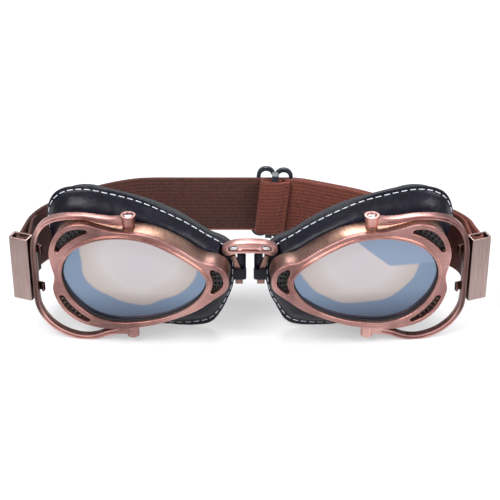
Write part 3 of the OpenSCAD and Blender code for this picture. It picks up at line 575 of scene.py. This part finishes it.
# One rust-coloured yarn runs along its lower edge.
tree, shader = web.node_tree, web.node_tree.nodes["Principled BSDF"]
brown = shader.inputs["Base Color"].links[0].from_socket
place = add(tree, "ShaderNodeTexCoord").outputs["Object"]
axes = add(tree, "ShaderNodeSeparateXYZ", inputs={"Vector": place})
edge = add(tree, "ShaderNodeMapRange", inputs={
    "Value": axes.outputs["Z"], "From Min": 0.0197, "From Max": 0.0202, "To Min": 0.8, "To Max": 0.0})
lined = add(tree, "ShaderNodeMix", {"data_type": "RGBA"}, {
    "Factor": edge.outputs["Result"], mix_a: brown, mix_b: linear("#9A5330")})
plug(tree, shader, {"Base Color": lined.outputs[mix_result]})
# The inner face of the same webbing is rust-coloured.
web_inner = elastic("rust_woven_elastic", "#82402F", "#672F22", "#421F19")


# Each half is one length of webbing. It is drawn as three lengths that meet flush, because
# it bends at the cup's pin, at the bail's screws and at the clasp.
def length_of(strap, name, *cuts):
    section = bpy.data.objects.new(name, strap.data.copy())
    bpy.context.scene.collection.objects.link(section)
    pick(section)
    bpy.ops.object.mode_set(mode="EDIT")
    for place, outwards in cuts:
        bpy.ops.mesh.select_all(action="SELECT")
        bpy.ops.mesh.bisect(plane_co=place, plane_no=outwards, use_fill=True, clear_outer=True)
    bpy.ops.object.mode_set(mode="OBJECT")
    bpy.ops.object.shade_smooth_by_angle(angle=math.radians(38))
    return section


# The places where a half is cut, in metres.
web_z, cup_cut_x, clasp_cut_y = 0.031, 0.062, -0.012
for side, sign, elastic_web, back_x, temple_y in (
        ("left", -1, web, 0.028, 0.024), ("right", 1, web_inner, 0.024, 0.010)):
    whole = cast_copy("strap_" + side, "whole_strap_" + side, corner=0.0003, angle=50)
    at_cup, at_clasp = (sign * cup_cut_x, 0, 0), (0, clasp_cut_y, 0)
    back = length_of(whole, "elastic_back_" + side, (at_cup, (sign, 0, 0)))
    temple = length_of(whole, "elastic_temple_" + side, (at_cup, (-sign, 0, 0)), (at_clasp, (0, -1, 0)))
    fold = length_of(whole, "elastic_fold_" + side, (at_cup, (-sign, 0, 0)), (at_clasp, (0, 1, 0)))
    bpy.data.objects.remove(whole)
    for section in (back, temple, fold):
        finish_with(section, elastic_web)
        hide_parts("strap_" + side)
    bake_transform(back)
    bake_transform(temple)
    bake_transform(fold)
sewn_end = cast_copy("strap_sewn_end", "sewn_end", corner=0.0003, angle=50)
dress(sewn_end, (web_inner,), "slider", "strap_sewn_end")

# The sewn end is closed with an upright row of rust-coloured thread, dull and twisted.
rust_thread, tree, shader = new_material("rust_polyester_thread")
twist_mm = 0.385
place = add(tree, "ShaderNodeTexCoord").outputs["Object"]
twist = add(tree, "ShaderNodeTexNoise", inputs={"Vector": place, "Scale": 1000 / twist_mm})
colour = add(tree, "ShaderNodeValToRGB", inputs={"Fac": twist.outputs["Fac"]},
             stops=[(0.3, "#5A2A20"), (0.7, "#8E4B3A")])
plug(tree, shader, {"Base Color": colour.outputs["Color"], "Roughness": 0.6})
# The row's middle and the step from stitch to stitch, which leans with the slider.
seam_middle, seam_step = Vector((0.01467, 0.02717, 0.0311)), Vector((0.00026, 0, 0.0027))
deselect()
bpy.ops.mesh.primitive_uv_sphere_add(segments=8, ring_count=6, radius=0.00028)
seam_stitch = bpy.context.object
seam_stitch.scale = (0.8, 0.6, 3.2)
bpy.ops.object.transform_apply(location=True, rotation=True, scale=True)
seam = row_of(seam_stitch, [Matrix.Translation(seam_middle + k * seam_step) for k in range(-4, 5)], "end_seam")
seam.data.materials.append(rust_thread)
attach(seam, "slider")

# ---- Slider
# Moulded black acetal: two oval rings that share a middle bar. It is smooth and slightly
# glossy, with faint scuffs a few millimetres wide.
acetal, tree, shader = new_material("moulded_black_acetal")
scuff_mm = 2.5
place = add(tree, "ShaderNodeTexCoord").outputs["Object"]
scuff = add(tree, "ShaderNodeTexNoise", inputs={
    "Vector": place, "Scale": 1000 / scuff_mm, "Detail": 3.0})
colour = add(tree, "ShaderNodeValToRGB", inputs={"Fac": scuff.outputs["Fac"]},
             stops=[(0.3, "#1D2126"), (0.7, "#30353D")])
plug(tree, shader, {"Base Color": colour.outputs["Color"], "Roughness": 0.35})
slider = cast_copy("strap_slider", "two_ring_slider", corner=0.0005, segments=3)
dress(slider, (acetal,), "slider", "strap_slider")

# ---- Floor, lamps and world
# A white table top that runs out of view, lit by three soft boxes. It shows plain white
# where nothing shades it.
deselect()
bpy.ops.mesh.primitive_plane_add(size=6, location=(0, 0, 0))
floor = bpy.context.object
floor.name = "table_top"
white, tree, shader = new_material("white_table")
plug(tree, shader, {"Base Color": linear("#E9EAEC"), "Roughness": 0.25})
plain = add(tree, "ShaderNodeEmission", inputs={"Color": (1, 1, 1, 1), "Strength": 1.0})
path = add(tree, "ShaderNodeLightPath")
seen = add(tree, "ShaderNodeMath", {"operation": "MAXIMUM"}, {
    0: path.outputs["Is Camera Ray"], 1: path.outputs["Is Glossy Ray"]})
share = add(tree, "ShaderNodeMath", {"operation": "MULTIPLY"}, {0: seen.outputs["Value"], 1: 0.45})
lit = add(tree, "ShaderNodeMixShader", inputs={
    0: share.outputs["Value"], 1: shader.outputs["BSDF"], 2: plain.outputs["Emission"]})
plug(tree, tree.nodes["Material Output"], {"Surface": lit.outputs["Shader"]})
floor.data.materials.append(white)

world = bpy.data.worlds.new("studio")
bpy.context.scene.world = world
world.use_nodes = True
tree = world.node_tree
background = tree.nodes["Background"]
plug(tree, background, {"Color": linear("#DDE2EA"), "Strength": 0.45})
# A camera that looks past the table sees plain white, as on a lit backdrop.
backdrop = add(tree, "ShaderNodeBackground", inputs={"Color": (1, 1, 1, 1), "Strength": 1.0})
seen = add(tree, "ShaderNodeLightPath").outputs["Is Camera Ray"]
either = add(tree, "ShaderNodeMixShader", inputs={
    0: seen, 1: background.outputs["Background"], 2: backdrop.outputs["Background"]})
plug(tree, tree.nodes["World Output"], {"Surface": either.outputs["Shader"]})

for name, place_at, size, power in (
        ("key_box", (-0.5, -0.5, 0.9), 0.6, 13),
        ("fill_box", (0.7, -0.3, 0.7), 0.5, 8),
        ("back_box", (0, 0.7, 0.8), 0.5, 6)):
    bpy.ops.object.light_add(type="AREA", location=place_at)
    lamp = bpy.context.object
    lamp.name = name
    lamp.data.size, lamp.data.energy = size, power
    lamp.rotation_euler = (-Vector(place_at)).to_track_quat("-Z", "Y").to_euler()

bpy.context.scene.view_settings.view_transform = "Standard"
